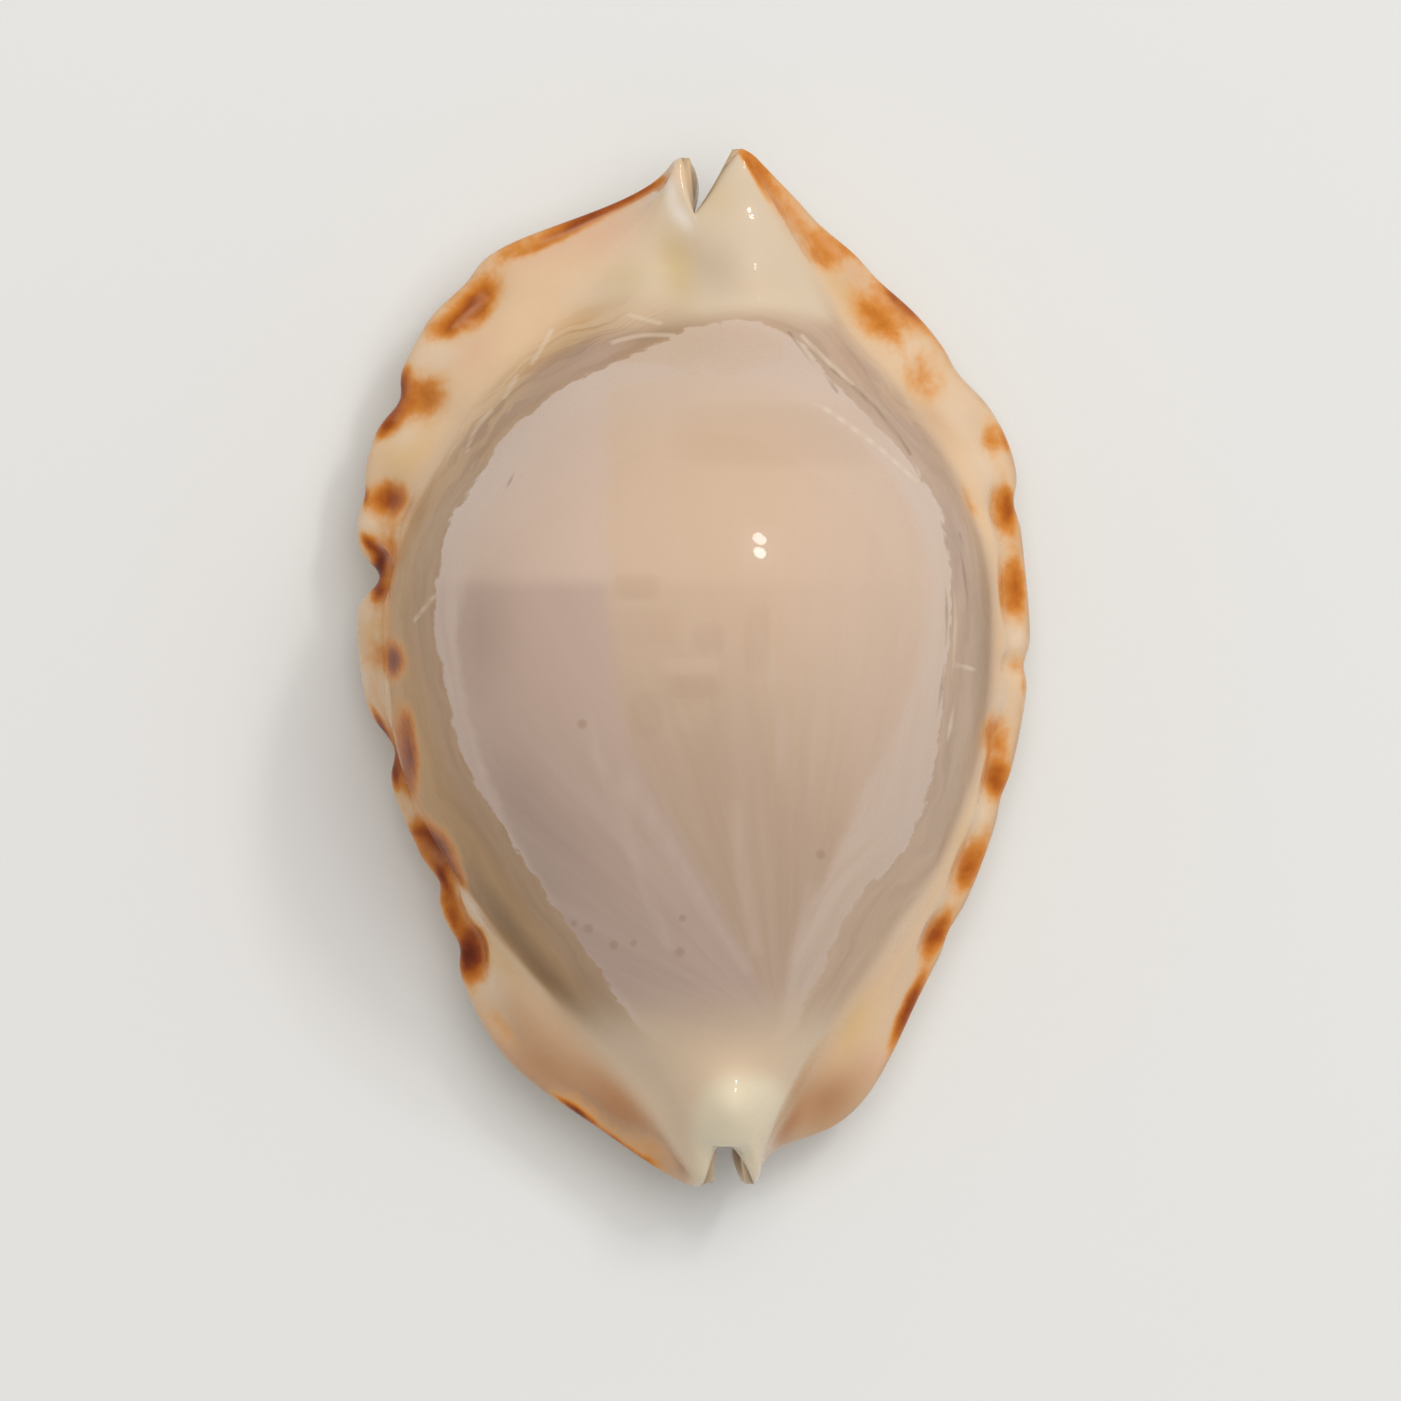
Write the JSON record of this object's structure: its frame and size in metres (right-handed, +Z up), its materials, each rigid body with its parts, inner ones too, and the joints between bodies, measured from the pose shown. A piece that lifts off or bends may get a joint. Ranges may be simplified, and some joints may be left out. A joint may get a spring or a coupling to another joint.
{
  "type": "cowrie shell",
  "caption": "Glossy margined cowrie shell lying aperture down: a swollen hollow dome, a scalloped upturned flange, a toothed slit aperture and a notched canal at each end.",
  "frame": {"origin": "under the middle of the shell, on the surface it rests on", "axes": "+Z up through the dome, +Y to the spire end, +X to the columellar side"},
  "size_m": [0.0376, 0.0576, 0.0275],
  "materials": {
    "enamel": "glossy porcelain enamel, pale pinkish beige with a cream and orange-brown spotted margin"
  },
  "bodies": {
    "root": {"shell": "enamel"}
  },
  "joints": []
}
